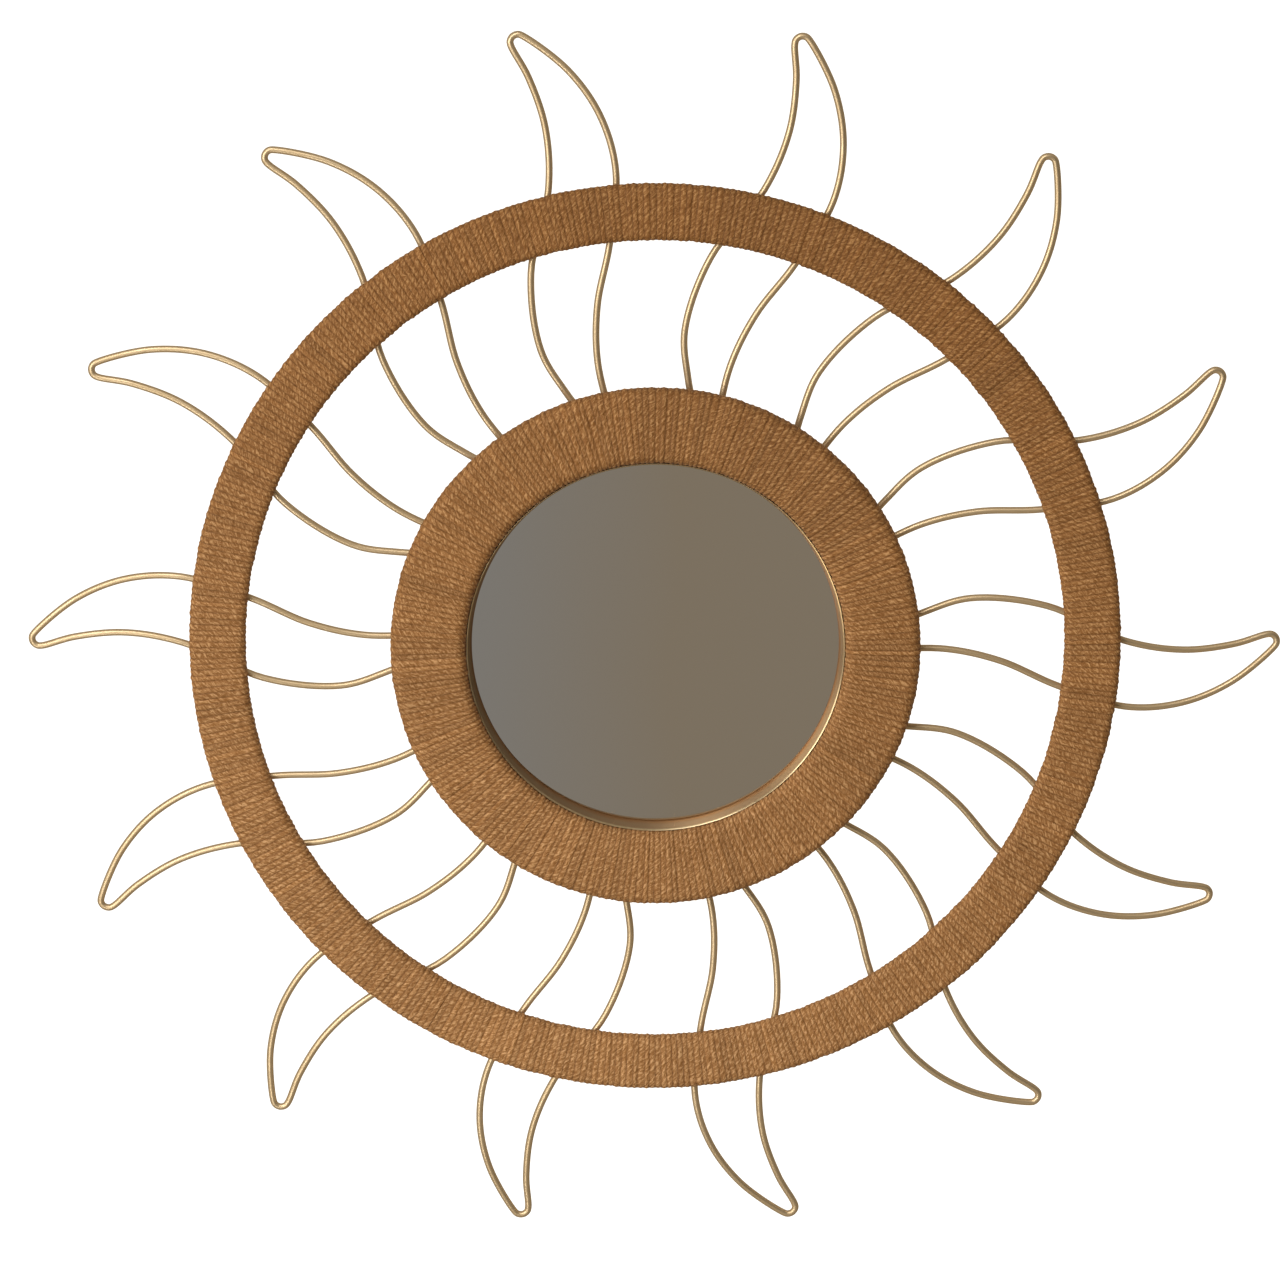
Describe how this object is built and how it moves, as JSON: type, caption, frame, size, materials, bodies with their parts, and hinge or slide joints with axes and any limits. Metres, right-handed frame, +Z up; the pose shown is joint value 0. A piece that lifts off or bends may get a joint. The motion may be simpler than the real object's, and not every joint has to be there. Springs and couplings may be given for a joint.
{
  "type": "wall mirror",
  "caption": "Round wall mirror shaped as a sun: twine-wound frame round the glass, flame-shaped rays of bent gold wire and a wider twine-wound ring lying across them.",
  "frame": {"origin": "centre of the back board's rear face, in the plane of the wall", "axes": "+Z up as hung, +Y into the wall, so the mirror faces -Y and +X is to the right of someone looking at it"},
  "size_m": [0.63, 0.0275, 0.6148],
  "materials": {
    "twine": "twisted jute twine wound in close turns, matt and slightly hairy",
    "gold_wire": "champagne-gold paint with a soft satin gloss on bent steel wire",
    "gold_rim": "gold-coloured metal strip, satin",
    "mirror_glass": "silvered flat glass, polished",
    "back_board": "bare fibreboard, sealed, matt"
  },
  "bodies": {
    "root": {"outer_ring": "twine", "inner_ring": "twine", "mirror_glass": "mirror_glass", "mirror_rim": "gold_rim", "back_board": "back_board", "ray_01": "gold_wire", "ray_02": "gold_wire", "ray_03": "gold_wire", "ray_04": "gold_wire", "ray_05": "gold_wire", "ray_06": "gold_wire", "ray_07": "gold_wire", "ray_08": "gold_wire", "ray_09": "gold_wire", "ray_10": "gold_wire", "ray_11": "gold_wire", "ray_12": "gold_wire", "ray_13": "gold_wire", "ray_14": "gold_wire"}
  },
  "joints": []
}
